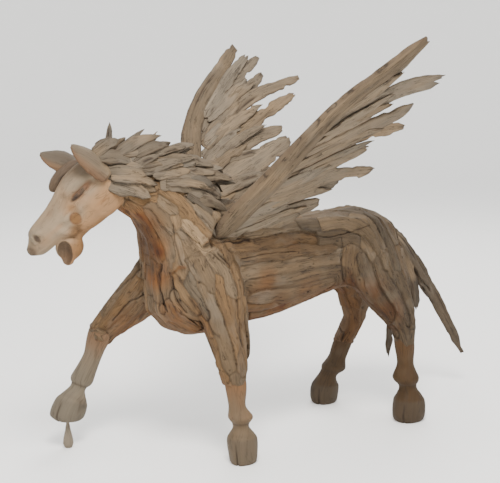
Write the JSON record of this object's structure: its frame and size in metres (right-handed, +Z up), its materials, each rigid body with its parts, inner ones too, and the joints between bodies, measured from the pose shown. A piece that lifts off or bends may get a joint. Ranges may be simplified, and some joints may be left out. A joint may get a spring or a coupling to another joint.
{
  "type": "winged horse sculpture",
  "caption": "Striding winged horse built from weathered driftwood slabs, with a carved head, split hooves, raised wings and a small wooden prop under the lifted fore hoof.",
  "frame": {"origin": "middle of the bounding box, on the ground that the hooves stand on", "axes": "-X towards the head, -Y towards the horse's left side, +Z up"},
  "size_m": [1.8814, 1.0802, 1.444],
  "materials": {
    "weathered_driftwood": "weathered grey-tan driftwood, matt, with dark cracks",
    "pale_carved_wood": "smooth carved wood, matt, pale pinkish tan",
    "russet_driftwood": "orange-brown driftwood, matt, where rain and sun reach less",
    "dark_carved_wood": "smooth carved wood, matt, darker brown"
  },
  "bodies": {
    "root": {"head": "pale_carved_wood", "left_ear": "pale_carved_wood", "right_ear": "pale_carved_wood", "hoof_prop": "weathered_driftwood", "left_fore_lower_leg": "weathered_driftwood", "right_fore_lower_leg": "weathered_driftwood", "left_hind_lower_leg": "dark_carved_wood", "right_hind_lower_leg": "dark_carved_wood", "left_wing_spar": "weathered_driftwood", "right_wing_spar": "weathered_driftwood", "left_fore_upper_leg": "weathered_driftwood", "right_fore_upper_leg": "weathered_driftwood", "left_hind_upper_leg": "weathered_driftwood", "right_hind_upper_leg": "weathered_driftwood", "neck": "weathered_driftwood", "chest": "russet_driftwood", "barrel": "weathered_driftwood", "croup": "weathered_driftwood", "tail_slab_1": "weathered_driftwood", "tail_slab_2": "weathered_driftwood", "tail_slab_3": "weathered_driftwood", "tail_slab_4": "weathered_driftwood", "tail_slab_5": "weathered_driftwood", "mane_lock_1": "weathered_driftwood", "mane_lock_2": "weathered_driftwood", "mane_lock_3": "weathered_driftwood", "mane_lock_4": "weathered_driftwood", "mane_lock_5": "weathered_driftwood", "mane_lock_6": "weathered_driftwood", "mane_lock_7": "weathered_driftwood", "mane_lock_8": "weathered_driftwood", "left_feather_1": "weathered_driftwood", "left_feather_2": "weathered_driftwood", "left_feather_3": "weathered_driftwood", "left_feather_4": "weathered_driftwood", "left_feather_5": "weathered_driftwood", "left_feather_6": "weathered_driftwood", "left_feather_7": "weathered_driftwood", "left_feather_8": "weathered_driftwood", "left_feather_9": "weathered_driftwood", "left_feather_10": "weathered_driftwood", "left_feather_11": "weathered_driftwood", "right_feather_1": "weathered_driftwood", "right_feather_2": "weathered_driftwood", "right_feather_3": "weathered_driftwood", "right_feather_4": "weathered_driftwood", "right_feather_5": "weathered_driftwood", "right_feather_6": "weathered_driftwood", "right_feather_7": "weathered_driftwood", "right_feather_8": "weathered_driftwood", "right_feather_9": "weathered_driftwood", "right_feather_10": "weathered_driftwood", "right_feather_11": "weathered_driftwood"}
  },
  "joints": []
}
